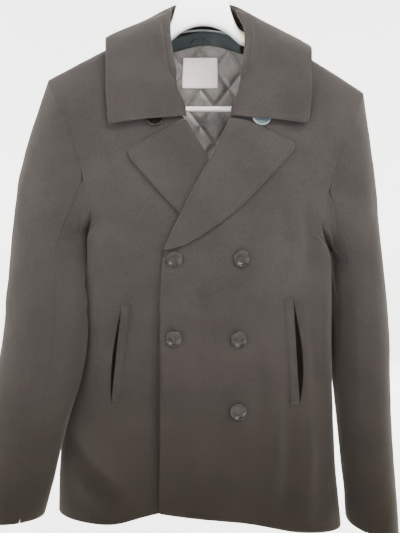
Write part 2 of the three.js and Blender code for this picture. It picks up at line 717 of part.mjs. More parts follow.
// Diamonds of quilting puff towards the wearer, away from the melton
function quilted(x, z, u, v) {
  const a = Math.sin(((x - BACK_MIDDLE) + z * 0.8) * Math.PI / QUILT.spacing);
  const b = Math.sin(((x - BACK_MIDDLE) - z * 0.8) * Math.PI / QUILT.spacing);
  const rim = Math.min(1, 12 * u * (1 - u)) * Math.min(1, 12 * v * (1 - v));
  return LINING_FACE - LINING - QUILT.puff * Math.sqrt(Math.abs(a * b)) * rim;
}

function liningBack() {
  const half = (v) => mix(150, 78, v ** 3);
  const lay = (u, v) => {
    const x = BACK_MIDDLE + mix(-1, 1, u) * half(v);
    const top = backNeck(x) - NECK_BAND - SEAM;
    return { x, z: mix(LINING_FOOT, top, v) };
  };
  return onTrunk('lining_back', 1, lay, steps(16), steps(18), quilted, LINING_FACE, looks.lining);
}

function neckBand() {
  const lay = (u, v) => {
    const x = BACK_MIDDLE + mix(-68, 68, u);
    return { x, z: backNeck(x) - mix(NECK_BAND, 2, v) };
  };
  return onTrunk('neck_band', 1, lay, steps(10), [0, 1], LINING_FACE - 2, LINING_FACE, looks.band);
}

function label() {
  const lay = (u, v) => ({
    x: LABEL.x + mix(-0.5, 0.5, u) * LABEL.wide,
    z: LABEL.z + mix(-0.5, 0.5, v) * LABEL.tall,
  });
  const face = LINING_FACE - LINING - QUILT.puff - 0.4;
  return onTrunk('label', 1, lay, steps(4), steps(3), face - 0.8, face, looks.label);
}

function hangLoop() {
  const band = backNeck(BACK_MIDDLE) - NECK_BAND / 2;
  const along = steps(10);
  const spot = (u, v) => {
    const x = BACK_MIDDLE + mix(-17, 17, v);
    const arch = Math.sin(v * Math.PI);
    const z = band - 8 + 9 * arch + mix(-2, 2, u);
    const lift = LINING_FACE - 3.2 - 3.5 * arch;
    return [skin(x, z, 1, lift - 1.2), skin(x, z, 1, lift)];
  };
  return wall('hang_loop', steps(1), along, spot, looks.band);
}

function welt(shape) {
  const under = shape.top.x < 0 ? sink : () => 0;
  const lay = (u, v) => ({
    x: mix(shape.foot.x, shape.top.x, v) + mix(-0.5, 0.5, u) * shape.wide,
    z: mix(shape.foot.z, shape.top.z, v),
  });
  const spot = (u, v) => {
    const { x, z } = lay(u, v);
    const base = WELT_LIFT - under(x, z);
    const high = base + 1.3 + 1.8 * Math.sqrt(Math.max(0, 4 * u * (1 - u)));
    return [skin(x, z, -1, high), skin(x, z, -1, base)];
  };
  return wall(shape.name, [0, 0.1, 0.3, 0.7, 0.9, 1], steps(8), spot, looks.lapel);
}

// A button with a raised rim, lying against the cloth behind it
function button(name, x, z, side, height, shape) {
  const seat = skin(x, z, side, height);
  const out = facing(seat.x, seat.y, seat.z);
  const { radius, thick, dish } = shape;
  const profile = [
    [0, 0], [radius * 0.86, 0], [radius, thick * 0.4], [radius * 0.93, thick],
    [radius * 0.78, thick], [radius * 0.6, thick - dish], [0, thick - dish],
  ].map(([r, h]) => new THREE.Vector2(r, h));
  const mesh = new THREE.Mesh(new THREE.LatheGeometry(profile, 18), material(looks.button));
  mesh.position.copy(seat);
  mesh.quaternion.setFromUnitVectors(new THREE.Vector3(0, 1, 0), out);
  mesh.name = name;
  return mesh;
}

// A body through closed loops of points, with a flat cap at each end
function loft(name, loops, look) {
  const size = loops[0].length;
  const points = loops.flat();
  const faces = [];
  for (let j = 0; j < loops.length - 1; j += 1) {
    for (let i = 0; i < size; i += 1) {
      const a = j * size + i;
      const b = j * size + ((i + 1) % size);
      faces.push([a, b, b + size], [a, b + size, a + size]);
    }
  }
  const last = (loops.length - 1) * size;
  for (let i = 1; i < size - 1; i += 1) {
    faces.push([0, i + 1, i], [last, last + i, last + i + 1]);
  }
  return solid(name, points, faces, look);
}

// Height of the hanger's top at a place: its neck, or its arms just under the shoulders' cloth
function hangerTop(x, y) {
  const depth = frontAt(shoulderAt(x));
  const across = 1 - (Math.abs(x) / halfAt(shoulderAt(x))) ** SQUARENESS;
  const used = clamp((Math.abs(y) / depth) ** SQUARENESS / across, 0, 1);
  const under = shoulderAt(x) - SHOULDER_ROUND * (1 - Math.sqrt(1 - used));
  const neck = neckAt(Math.abs(x + HANGER.lean)) - (y * y) / 28;
  return Math.abs(x) < NECK_HALF - 14 ? neck : Math.min(neck, under - ARM_CLEARANCE);
}

function hangerBody() {
  const loops = [];
  for (let i = 0; i <= 34; i += 1) {
    const x = mix(-HANGER.reach, HANGER.reach, i / 34);
    const away = Math.abs(x) / HANGER.reach;
    const half = mix(HANGER.half, HANGER.halfAtTip, ease(0.3, 0.9, away)) * (1 - 0.35 * ease(0.93, 1, away));
    const span = Math.abs(x + HANGER.lean) / HANGER.arch;
    const arch = span < 1 ? HANGER.under - HANGER.rise * span ** 2 : hangerTop(x, 0) - HANGER.thick;
    const loop = [];
    for (const t of [-1, -0.86, -0.5, 0, 0.5, 0.86, 1]) {
      loop.push(new THREE.Vector3(x, half * t, hangerTop(x, half * t) - 5 * t ** 4));
    }
    for (const t of [0.86, 0, -0.86]) {
      loop.push(new THREE.Vector3(x, half * t, Math.min(arch, hangerTop(x, half) - 7)));
    }
    loops.push(loop);
  }
  return loft('hanger_body', loops, looks.plastic);
}

function tube(name, curve, radius, sides, count, look) {
  const corners = steps(sides).slice(0, -1).map((turn) => {
    const angle = turn * Math.PI * 2;
    return new THREE.Vector2(radius * Math.cos(angle), radius * Math.sin(angle));
  });
  const section = new THREE.Shape(corners);
  const settings = { steps: count, bevelEnabled: false, extrudePath: curve };
  const mesh = new THREE.Mesh(new THREE.ExtrudeGeometry(section, settings), material(look));
  mesh.name = name;
  return mesh;
}

function trouserBar() {
  const underneath = (x) => hangerTop(x, 0) - HANGER.thick - 0.6;
  const points = [];
  for (const side of [-1, 1]) {
    const run = [
      [BAR.half, underneath(side * BAR.half) - 3],
      [BAR.half, BAR.z + BAR.bend],
      [BAR.half - 4, BAR.z + 5],
      [BAR.half - BAR.bend, BAR.z],
      [BAR.half - 60, BAR.z],
    ].map(([x, z]) => new THREE.Vector3(side * x, 0, z));
    points.push(...(side < 0 ? run : run.reverse()));
  }
  const curve = new THREE.CatmullRomCurve3(points, false, 'centripetal');
  return tube('trouser_bar', curve, BAR.radius, 8, 40, looks.bar);
}

function hook() {
  const { radius, rise } = HOOK;
  const heart = -radius + HOOK.wire;
  const bend = (degrees) => {
    const angle = THREE.MathUtils.degToRad(degrees);
    return new THREE.Vector3(radius * Math.cos(angle), 0, heart + radius * Math.sin(angle));
  };
  const points = [
    new THREE.Vector3(0, 0, rise),
    new THREE.Vector3(0, 0, rise + 18),
    new THREE.Vector3(9, 0, heart - 36),
    bend(-30), bend(0), bend(30), bend(60), bend(90), bend(120), bend(150), bend(180), bend(205),
  ];
  const curve = new THREE.CatmullRomCurve3(points, false, 'centripetal');
  return tube('hanger_hook', curve, HOOK.wire, 8, 36, looks.metal);
}

const coat = new THREE.Group();
coat.add(backPanel('back_right', -1));
coat.add(backPanel('back_left', 1));
coat.add(frontPanel('front_right', -1, EDGE_RIGHT, HEM_RIGHT));
coat.add(frontPanel('front_left', 1, EDGE_LEFT, HEM_LEFT));
coat.add(lapel('lapel_right', -1, LAPEL_RIGHT, EDGE_RIGHT));
coat.add(lapel('lapel_left', 1, LAPEL_LEFT, EDGE_LEFT));
coat.add(collar());
for (const [name, hand, rows] of [['right', -1, SLEEVE_RIGHT], ['left', 1, SLEEVE_LEFT]]) {
  const underFront = ARMHOLE_STOPS.filter((stop) => stop >= SLEEVE_SEAM);
  const underBack = underFront.slice(0, -1).map((stop) => 360 - stop).reverse();
  const upperFront = ARMHOLE_STOPS.filter((stop) => stop <= SLEEVE_SEAM);
  const upperBack = upperFront.slice(1).map((stop) => -stop).reverse();
  coat.add(sleevePiece(`sleeve_under_${name}`, hand, rows, [...underFront, ...underBack]));
  coat.add(sleevePiece(`sleeve_upper_${name}`, hand, rows, [...upperBack, ...upperFront]));
}
coat.add(liningBack(), neckBand(), label(), hangLoop());
for (const shape of WELTS) coat.add(welt(shape));
for (const { name, x, z } of FRONT_BUTTONS) coat.add(button(name, x, z, -1, BUTTON_SEAT, BUTTON));
for (const side of [-1, 1]) {
  const name = side < 0 ? 'button_collar_right' : 'button_collar_left';
  const x = side * COLLAR_BUTTON.x;
  const drop = side < 0 ? sink(x, COLLAR_BUTTON.z) : 0;
  coat.add(button(name, x, COLLAR_BUTTON.z, -1, BUTTON_SEAT - drop, COLLAR_BUTTON));
}
coat.add(button('button_side', SIDE_BUTTON.x, SIDE_BUTTON.z, 1, SEAM, BUTTON));
coat.add(hangerBody(), trouserBar(), hook());

export default coat;
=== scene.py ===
"""A charcoal pea coat on its hanger: cloth, sewing, buttons and hanger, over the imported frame."""

import math

import bmesh
import bpy
import numpy as np
from mathutils import Matrix, Vector, noise
from mathutils.bvhtree import BVHTree


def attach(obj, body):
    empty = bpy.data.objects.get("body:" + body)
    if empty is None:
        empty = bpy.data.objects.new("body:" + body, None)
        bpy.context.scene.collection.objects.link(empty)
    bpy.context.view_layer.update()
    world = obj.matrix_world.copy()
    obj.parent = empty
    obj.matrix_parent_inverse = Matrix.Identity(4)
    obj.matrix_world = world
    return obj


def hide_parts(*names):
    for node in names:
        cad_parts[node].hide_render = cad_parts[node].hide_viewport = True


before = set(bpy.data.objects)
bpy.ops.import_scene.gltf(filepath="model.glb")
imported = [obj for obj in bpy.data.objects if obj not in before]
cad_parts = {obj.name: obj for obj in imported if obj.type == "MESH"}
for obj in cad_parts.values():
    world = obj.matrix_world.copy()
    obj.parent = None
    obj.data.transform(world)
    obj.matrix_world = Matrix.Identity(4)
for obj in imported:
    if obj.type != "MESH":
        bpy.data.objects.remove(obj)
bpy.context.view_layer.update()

bl_info = {
    "name": "Pea coat on a hanger",
    "version": (1, 0, 0),
    "blender": (4, 5, 0),
    "location": "3D View > Sidebar > Pea coat",
    "description": "Builds the cloth, sewing, buttons and hanger of a pea coat over its frame",
    "category": "Object",
}

MM = 0.001

# Creases listed in millimetres: where on the trunk they run, as (x, z), their half-width,
# and their rise at the middle, which is negative for a trough
FRONT_CREASES = [
    ([(-206, -772), (-176, -812), (-142, -838), (-112, -856)], 14, -7),
    ([(-200, -814), (-164, -852), (-128, -878)], 15, 4),
    ([(-192, -734), (-156, -774), (-112, -796)], 18, 2.5),
    ([(0, -540), (4, -640), (-2, -720)], 12, 4),
    ([(64, -640), (72, -720), (66, -830)], 12, -5),
    ([(88, -668), (96, -750), (92, -880)], 11, 4),
    ([(110, -700), (116, -790), (108, -890)], 12, -5),
    ([(136, -720), (144, -810), (138, -900)], 11, 4),
    ([(118, -430), (124, -500), (120, -560)], 10, 4),
    ([(140, -430), (146, -510), (140, -570)], 9, -4),
    ([(160, -440), (164, -520), (160, -600)], 10, 3),
    ([(-56, -545), (-92, -580), (-104, -640)], 13, -3),
    ([(-150, -450), (-132, -520), (-124, -580)], 15, -4),
    ([(-166, -520), (-158, -620), (-164, -720)], 13, 4),
    ([(176, -520), (166, -620), (170, -740)], 12, 4),
    ([(-24, -760), (-10, -820), (-18, -872)], 14, -3),
    ([(24, -780), (30, -830), (26, -880)], 12, 3),
]
# These lie on one front only: the thick left edge, and the right front sunk beside it
EDGE_CREASES = {
    "front_left": [([(-64, -526), (-62, -700), (-64, -872)], 6, 1.6),
                   ([(122, -584), (127, -656), (130, -730)], 5, -1.5),
                   ([(134, -590), (141, -656), (142, -722)], 6, 2.5)],
    "front_right": [([(-71, -530), (-72, -700), (-71, -880)], 5, -6),
                    ([(-120, -590), (-127, -660), (-133, -724)], 5, -1.5),
                    ([(-129, -590), (-137, -660), (-142, -720)], 6, 2.5)],
}
BACK_CREASES = [
    ([(-104, -560), (-96, -680), (-110, -880)], 15, 4),
    ([(-66, -600), (-60, -720), (-70, -890)], 13, -4),
    ([(60, -590), (70, -720), (62, -890)], 14, 4),
    ([(104, -560), (112, -700), (104, -900)], 13, -4),
    ([(-150, -330), (-110, -372), (-60, -392)], 15, -3),
    ([(146, -340), (104, -380), (60, -396)], 15, -3),
    ([(-30, -250), (0, -262), (30, -250)], 14, -2),
    ([(150, -480), (120, -540), (128, -620)], 16, 3),
    ([(-158, -480), (-128, -540), (-132, -620)], 16, 3),
]
# The same on a sleeve, as (degrees round from the front towards the outside, z)
SLEEVE_CREASES = {
    "right": [
        ([(-84, -456), (-48, -492), (-18, -500)], 11, -4.5),
        ([(-90, -500), (-56, -538), (-20, -552)], 14, 3),
        ([(-70, -590), (-34, -612)], 12, -3.5),
        ([(-60, -640), (-16, -676), (16, -680)], 15, 2.5),
        ([(-36, -720), (24, -764)], 17, -2.5),
        ([(50, -540), (88, -586), (106, -590)], 18, 2),
        ([(150, -548), (196, -592), (250, -584)], 13, -4.5),
        ([(136, -652), (180, -676), (222, -660)], 15, 3),
        ([(96, -330), (86, -400), (104, -470)], 17, 2.5),
        ([(22, -372), (34, -430), (14, -478)], 15, -2.5),
        ([(-122, -500), (-122, -540), (-122, -590)], 26, 4.5),
        ([(-92, -455), (-92, -525), (-92, -600)], 36, 13),
    ],
    "left": [
        ([(-76, -480), (-40, -522), (-14, -530)], 11, -4.5),
        ([(-84, -530), (-50, -572), (-8, -590)], 15, 3),
        ([(-50, -650), (-6, -692)], 15, -2.5),
        ([(-30, -780), (16, -812)], 16, 2),
        ([(60, -610), (96, -646)], 17, 2),
        ([(152, -562), (204, -612), (250, -596)], 13, -4.5),
        ([(140, -664), (184, -694), (230, -674)], 15, 3),
        ([(100, -352), (86, -430), (98, -500)], 17, 2.5),
        ([(26, -380), (36, -446), (16, -500)], 15, -2.5),
        ([(-125, -530), (-125, -640), (-125, -730)], 26, 5),
    ],
}


def linear(code):
    """An sRGB hex colour as linear red, green, blue and alpha."""
    parts = [int(code[i : i + 2], 16) / 255 for i in (1, 3, 5)]
    return (*[c / 12.92 if c <= 0.04045 else ((c + 0.055) / 1.055) ** 2.4 for c in parts], 1)


def add(tree, kind, inputs=None, **settings):
    """Adds a node; an input is a value or another node's output socket."""
    made = tree.nodes.new(kind)
    for name, value in settings.items():
        setattr(made, name, value)
    for key, value in (inputs or {}).items():
        if isinstance(value, bpy.types.NodeSocket):
            tree.links.new(value, made.inputs[key])
        else:
            made.inputs[key].default_value = value
    return made


def shader(name, colour, rough, bump=None, strength=0.3, distance=0.4, **sockets):
    """A material from functions that make its colour, roughness and bump height."""
    made = bpy.data.materials.new(name)
    made.use_nodes = True
    tree = made.node_tree
    base = tree.nodes["Principled BSDF"]
    place = add(tree, "ShaderNodeTexCoord").outputs["Object"]
    tree.links.new(colour(tree, place), base.inputs["Base Color"])
    if callable(rough):
        tree.links.new(rough(tree, place), base.inputs["Roughness"])
    else:
        base.inputs["Roughness"].default_value = rough
    if bump:
        raised = add(tree, "ShaderNodeBump", {"Height": bump(tree, place), "Strength": strength,
                                              "Distance": distance * MM})
        tree.links.new(raised.outputs["Normal"], base.inputs["Normal"])
    for key, value in sockets.items():
        base.inputs[key.replace("_", " ")].default_value = value
    return made


def grain(tree, place, size_mm, detail=2.0, stretch=(1, 1, 1)):
    """Noise whose lumps are about size_mm across."""
    spread = add(tree, "ShaderNodeMapping", {"Vector": place, "Scale": stretch})
    return add(tree, "ShaderNodeTexNoise", {"Vector": spread.outputs["Vector"], "Scale": 0.5 / (size_mm * MM),
                                            "Detail": detail, "Roughness": 0.6}).outputs["Fac"]


def blend(tree, share, low, high):
    """A colour between two, by a share."""
    ramp = add(tree, "ShaderNodeMix", {0: share, 6: low, 7: high}, data_type="RGBA")
    return ramp.outputs[2]


def scaled(tree, value, from_low, from_high, low, high):
    """A value stretched from one range to another."""
    return add(tree, "ShaderNodeMapRange", {"Value": value, "From Min": from_low, "From Max": from_high,
                                            "To Min": low, "To Max": high}).outputs["Result"]


def summed(tree, first, second, kind="ADD"):
    """Two values joined by a plain sum or product."""
    return add(tree, "ShaderNodeMath", {0: first, 1: second}, operation=kind).outputs["Value"]


def melton(name, light, dark, low):
    """Melton wool, fulled and brushed: a matt face of short fibres, mottled where the nap lies.

    Its fibres are drawn coarser than real, about 1 mm across, so that they show.
    """

    def colour(tree, place):
        patch = scaled(tree, grain(tree, place, 38, 3), 0.32, 0.68, 0, 1)
        fibre = scaled(tree, grain(tree, place, 1.1, 3), 0.35, 0.65, 0, 1)
        both = summed(tree, summed(tree, patch, 0.45, "MULTIPLY"), summed(tree, fibre, 0.55, "MULTIPLY"))
        cloth = blend(tree, both, linear(dark), linear(light))
        # Painted shade: the wool grows darker and browner towards the hem, down to the low colour.
        height = add(tree, "ShaderNodeSeparateXYZ", {"Vector": place}).outputs["Z"]
        sunk = scaled(tree, height, -0.50, -0.90, 0, 1)
        return blend(tree, sunk, cloth, blend(tree, both, linear("#070402"), linear(low)))

    def nap(tree, place):
        return summed(tree, grain(tree, place, 0.9, 3), grain(tree, place, 3.2, 2, (1, 1, 0.4)))

    return shader(name, colour, 0.94, nap, 0.5, 0.5, Sheen_Weight=0.13, Sheen_Roughness=0.5,
                  Sheen_Tint=linear("#b8aea2"), Specular_IOR_Level=0.12)


def satin(name, light, dark, rough=0.4, thread=0.9, sheen=0.3, mirror=0.4):
    """Woven satin: long floats one way give it a soft gloss."""

    def colour(tree, place):
        return blend(tree, scaled(tree, grain(tree, place, 14, 3), 0.3, 0.7, 0, 1), linear(dark), linear(light))

    def weave(tree, place):
        return grain(tree, place, thread, 2, (1, 1, 0.15))

    return shader(name, colour, rough, weave, 0.2, 0.2, Sheen_Weight=sheen, Sheen_Roughness=0.4,
                  Specular_IOR_Level=mirror)


def quilted(name, light, dark):
    """Quilted satin: soft gloss on the puffs, and stitched lines that pull down between them."""
    lean_of, apart, shift = 0.8, 0.048, 0.012

    def lines(tree, place):
        low = None
        for lean in (lean_of, -lean_of):
            flat = add(tree, "ShaderNodeSeparateXYZ", {"Vector": place})
            across = summed(tree, flat.outputs["X"], summed(tree, flat.outputs["Z"], lean, "MULTIPLY"))
            turn = summed(tree, summed(tree, across, shift), math.pi / apart, "MULTIPLY")
            sine = add(tree, "ShaderNodeMath", {0: turn}, operation="SINE").outputs["Value"]
            size = add(tree, "ShaderNodeMath", {0: sine}, operation="ABSOLUTE").outputs["Value"]
            low = size if low is None else summed(tree, low, size, "MINIMUM")
        return low

    def colour(tree, place):
        patch = scaled(tree, grain(tree, place, 12, 3), 0.3, 0.7, 0, 1)
        cloth = blend(tree, patch, linear(dark), linear(light))
        # Painted shade: the satin darkens along the stitched lines, in the quilting grooves.
        seam = scaled(tree, lines(tree, place), 0.0, 0.1, 0.6, 0)
        return blend(tree, seam, cloth, linear("#1d1b1a"))

    def puff(tree, place):
        raised = scaled(tree, lines(tree, place), 0.0, 0.5, 0, 1)
        return summed(tree, raised, summed(tree, grain(tree, place, 7, 3), 0.35, "MULTIPLY"))

    return shader(name, colour, 0.36, puff, 0.7, 1.7, Sheen_Weight=0.3, Sheen_Roughness=0.35,
                  Specular_IOR_Level=0.5)


def moulded(name, light, dark, rough=0.25, coat=0.3, lump=9, depth=0.15, mirror=0.5):
    """Moulded plastic, tumbled or glossed, faintly uneven in colour and gloss."""

    def colour(tree, place):
        return blend(tree, scaled(tree, grain(tree, place, lump, 4), 0.35, 0.65, 0, 1), linear(dark), linear(light))

    def gloss(tree, place):
        return scaled(tree, grain(tree, place, 5, 3), 0.3, 0.7, rough * 0.8, rough * 1.25)

    def skin(tree, place):
        return grain(tree, place, 2.5, 2)

    return shader(name, colour, gloss, skin, 0.06, depth, Coat_Weight=coat, Coat_Roughness=0.12, IOR=1.5,
                  Specular_IOR_Level=mirror)


def white_with_painted_reflection(name, light, dark, reflected_tint):
    """Glossy white plastic of a heavy hanger, with a painted warm reflection tinting it cream towards one edge."""

    def colour(tree, place):
        clean = blend(tree, grain(tree, place, 30, 3), linear(dark), linear(light))
        flat = add(tree, "ShaderNodeSeparateXYZ", {"Vector": place})
        line = summed(tree, flat.outputs["X"], summed(tree, flat.outputs["Z"], 0.373, "MULTIPLY"))
        # Painted warm reflection: a cream tint grows towards the hanger's right edge.
        return blend(tree, scaled(tree, line, -0.0205, -0.0165, 0, 0.85), clean, linear(reflected_tint))

    def gloss(tree, place):
        return scaled(tree, grain(tree, place, 6, 3), 0.3, 0.7, 0.16, 0.3)

    return shader(name, colour, gloss, lambda tree, place: grain(tree, place, 3, 2), 0.05, 0.1,
                  Coat_Weight=0.3, Coat_Roughness=0.1, IOR=1.5)


def plated(name):
    """Nickel-plated steel wire, drawn and then polished."""

    def colour(tree, place):
        return blend(tree, grain(tree, place, 6, 2), linear("#b9bcc0"), linear("#d9dbdd"))

    def drawn(tree, place):
        return grain(tree, place, 0.5, 2, (1, 1, 0.1))

    return shader(name, colour, 0.22, drawn, 0.05, 0.1, Metallic=1.0)


def near(point, spine):
    """How far a flat point lies from a line of points, and how far along it that is, 0 to 1."""
    best, share = 1e9, 0
    count = len(spine) - 1
    for i in range(count):
        ax, az = spine[i]
        bx, bz = spine[i + 1]
        dx, dz = bx - ax, bz - az
        t = min(max(((point[0] - ax) * dx + (point[1] - az) * dz) / (dx * dx + dz * dz), 0), 1)
        far = math.hypot(point[0] - ax - dx * t, point[1] - az - dz * t)
        if far < best:
            best, share = far, (i + t) / count
    return best, share


def creased(point, creases, deep):
    """The rise of all creases at a flat point, in millimetres."""
    rise = 0
    for spine, wide, high in creases:
        far, along = near(point, spine)
        if far < 3 * wide:
            fade = math.sin(math.pi * min(max(0.03 + 0.94 * along, 0), 1)) ** 0.9
            rise += high * deep * fade * math.exp(-((far / wide) ** 2))
    return rise


def sleeve_axis(hand):
    """Middle of a sleeve by height, from the frame's two pieces of it."""
    points = np.array([v.co for part in ("upper", "under")
                       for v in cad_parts[f"sleeve_{part}_{hand}"].data.vertices])
    heights = np.arange(-0.96, -0.24, 0.02)
    middles = []
    for z in heights:
        band = points[abs(points[:, 2] - z) < 0.035]
        middles.append((band.min(0) + band.max(0)) / 2 if len(band) > 3 else None)
    known = [m for m in middles if m is not None]
    filled = np.array([m if m is not None else (known[0] if i < 10 else known[-1])
                       for i, m in enumerate(middles)])

    def at(z):
        return Vector((np.interp(z, heights, filled[:, 0]), np.interp(z, heights, filled[:, 1]), z))

    return at


def outward(co):
    """The way out of the trunk's flattened oval section."""
    return Vector((co.x / 0.045, co.y / 0.0095, 0)).normalized()


# Where the right side falls in at the waist, in millimetres: its depth, height, half-height,
# and the stretch of the side over which it grows
WAIST = {"deep": 8, "z": -527, "half": 42, "from": 110, "over": 80}


def on_trunk(deep, node=""):
    """Moves points of the trunk's cloth in and out."""
    front = FRONT_CREASES + EDGE_CREASES.get(node, [])

    def move(co):
        out = outward(co)
        side = front if co.y < 0 else BACK_CREASES
        rise = creased((co.x / MM, co.z / MM), side, deep) if abs(co.y) > 0.02 else 0
        rise += 0.9 * noise.noise(co * 13) + 0.45 * noise.noise(co * 41)
        aside = min(max((-co.x / MM - WAIST["from"]) / WAIST["over"], 0), 1) ** 1.5
        waist = WAIST["deep"] * math.exp(-(((co.z / MM - WAIST["z"]) / WAIST["half"]) ** 2)) * aside
        return (out * rise + Vector((waist, 0, 0))) * MM

    return move


def on_sleeve(hand, deep):
    """Moves points of a sleeve's cloth in and out of its middle line."""
    middle = sleeve_axis(hand)
    outwards = -1 if hand == "right" else 1

    def move(co):
        away = co - middle(co.z)
        away.z = 0
        turn = math.degrees(math.atan2(away.x * outwards, -away.y))
        out = away.normalized()
        rise = 0
        for shift in (0, 360):
            flat = ((turn + shift) * 0.96, co.z / MM)
            rise += creased(flat, [([(a * 0.96, z) for a, z in spine], wide, high)
                                   for spine, wide, high in SLEEVE_CREASES[hand]], deep)
        fade = min(max((-0.33 - co.z) / 0.08, 0), 1)
        rise = rise * fade + 0.8 * noise.noise(co * 14) + 0.5 * noise.noise(co * 40)
        return out * rise * MM

    return move


def uneven(size):
    """Moves points of loose cloth by a little, all ways."""

    def move(co):
        return Vector((0.3, -1, 0.4)) * size * (noise.noise(co * 17) + 0.5 * noise.noise(co * 45)) * MM

    return move


def fresh(node):
    """A merged copy of a frame node's mesh with its triangles joined in pairs."""
    bm = bmesh.new()
    bm.from_mesh(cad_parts[node].data)
    bmesh.ops.remove_doubles(bm, verts=bm.verts, dist=0.00002)
    bmesh.ops.join_triangles(bm, faces=bm.faces, angle_face_threshold=math.radians(40),
                             angle_shape_threshold=math.pi)
    return bm


def faces_of(made):
    """A tree of a piece's faces, to find the nearest one or the one ahead."""
    return BVHTree.FromPolygons([v.co for v in made.data.vertices], [p.vertices for p in made.data.polygons])


def placed(bm, name, material, replaces=()):
    """A mesh made from a bmesh, riding on the frame's one body."""
    for layer in list(bm.loops.layers.uv):
        bm.loops.layers.uv.remove(layer)
    mesh = bpy.data.meshes.new(name)
    bm.to_mesh(mesh)
    bm.free()
    made = bpy.data.objects.new(name, mesh)
    bpy.context.scene.collection.objects.link(made)
    mesh.materials.clear()
    mesh.materials.append(material)
    mesh.polygons.foreach_set("use_smooth", [True] * len(mesh.polygons))
    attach(made, "root")
    if replaces:
        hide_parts(*replaces)
    return made


def smoothed(made, levels):
    """Subdivides a piece and keeps the result as its mesh."""
    change = made.modifiers.new("soft", "SUBSURF")
    change.levels = change.render_levels = levels
    graph = bpy.context.evaluated_depsgraph_get()
    mesh = bpy.data.meshes.new_from_object(made.evaluated_get(graph))
    made.modifiers.clear()
    made.data = mesh
    return made


# Rows to be stitched, by node: (start, end, way in from the edge)
RIMS = {}


def rim_run(bm, rim, keep):
    """Edges of a wall's outer face along its rim that pass a test, as (start, end, inward)."""
    runs = {}
    for edge in bm.edges:
        if not edge[rim]:
            continue
        middle = (edge.verts[0].co + edge.verts[1].co) / 2
        away = outward(middle) + Vector((0, 0, 0.3))
        broad = max(edge.link_faces, key=lambda face: face.normal.dot(away))
        if broad.normal.dot(away) <= 0.5 or not keep(middle):
            continue
        run = (edge.verts[1].co - edge.verts[0].co).normalized()
        inward = broad.normal.cross(run)
        if inward.dot(broad.calc_center_median() - middle) < 0:
            inward.negate()
        runs[edge.index] = (edge.verts[0].co.copy(), edge.verts[1].co.copy(), inward)
    return list(runs.values())


def cloth(node, material, slot, levels=3, move=None, held="hung", rests_on=("hanger_body",), sharp=0.6,
          let_out=0.0, sewn=None):
    """A thin cloth on a frame node's form: its rim stays crisp, and its face takes creases."""
    bm = fresh(node)
    rim = bm.edges.layers.float.new("crease_edge")
    for edge in bm.edges:
        if len(edge.link_faces) == 2 and edge.calc_face_angle(0) > math.radians(50):
            edge[rim] = sharp
    if sewn:
        RIMS[node] = rim_run(bm, rim, sewn)
    if let_out:
        shift = {}
        for face in bm.faces:
            if sum(edge[rim] > 0 for edge in face.edges) >= 2 and face.calc_area() < 0.0004:
                for vert in face.verts:
                    shift[vert] = shift.get(vert, Vector()) + face.normal
        for vert, way in shift.items():
            vert.co += way.normalized() * let_out * MM
    made = placed(bm, f"{node}_cloth", material, [node])
    smoothed(made, levels)
    if move:
        for vertex in made.data.vertices:
            vertex.co += move(vertex.co)
    return made


MATERIALS = {}


def finish_of(name):
    """The coat's materials, made once."""
    if not MATERIALS:
        looks = bpy.context.scene.pea_coat
        MATERIALS.update({
            "melton": melton("melton_wool", looks.wool_light, looks.wool_dark, looks.wool_hem_shade),
            "lining": quilted("quilted_satin", looks.lining_light, looks.lining_dark),
            "facing": satin("neck_twill", "#3d4446", "#2a2f31", 0.75, 0.7, 0.12),
            "piping": satin("piping_cord", "#8d9494", "#6c7475", 0.6, 0.6, 0.2),
            "label": satin("blank_woven_label", "#e6dcda", "#d6cbc9", 0.5, 0.5, 0.2),
            # Painted shadow: a near-black, unglossed sheet that stands for the dark inside the pocket slits
            "slit_shadow": satin("painted_slit_black", "#0a0604", "#040302", 1.0, 0.8, 0.0, 0.04),
            "thread": satin("polyester_thread", "#1b1918", "#131110", 0.8, 0.4, 0.05),
            "button": moulded("horn_look_polyester", "#16100c", "#080605", 0.13, 0.0, 7, mirror=0.2),
            "collar_button": moulded("blue_grey_polyester", "#4a565c", "#323b40", 0.3, 0.3, 7),
            "hanger": white_with_painted_reflection("white_styrene", "#f3f4f4", "#e9eaeb", "#cdbb86"),
            "bar": moulded("grey_polypropylene", "#d5d1cd", "#c3beb9", 0.35, 0.2, 20),
            "hook": plated("nickel_wire"),
        })
    return MATERIALS[name]


class PeaCoatSizes(bpy.types.PropertyGroup):
    """Sizes and colours that a user may change."""

    crease: bpy.props.FloatProperty(
        name="Crease depth", description="Share of the depth of the creases laid by hand",
        default=1.0, min=0.0, max=1.5, subtype="FACTOR")
    stitch: bpy.props.FloatProperty(
        name="Stitch length", description="Length of one stitch of the edge rows",
        default=0.0032, min=0.002, max=0.006, unit="LENGTH")
    inset: bpy.props.FloatProperty(
        name="Stitch inset", description="From a cloth's edge to its row of stitches",
        default=0.007, min=0.003, max=0.012, unit="LENGTH")
    wool_light: bpy.props.StringProperty(
        name="Wool, light", description="sRGB hex colour of the nap where it catches light", default="#292625")
    wool_dark: bpy.props.StringProperty(
        name="Wool, dark", description="sRGB hex colour between the fibres", default="#1a1716")
    # The colour of the painted shade towards the hem
    wool_hem_shade: bpy.props.StringProperty(
        name="Wool, low", description="sRGB hex colour towards the hem", default="#120d06")
    lining_light: bpy.props.StringProperty(
        name="Lining, light", description="sRGB hex colour of the satin's floats", default="#67615d")
    lining_dark: bpy.props.StringProperty(
        name="Lining, dark", description="sRGB hex colour of the satin's hollows", default="#3f3b39")


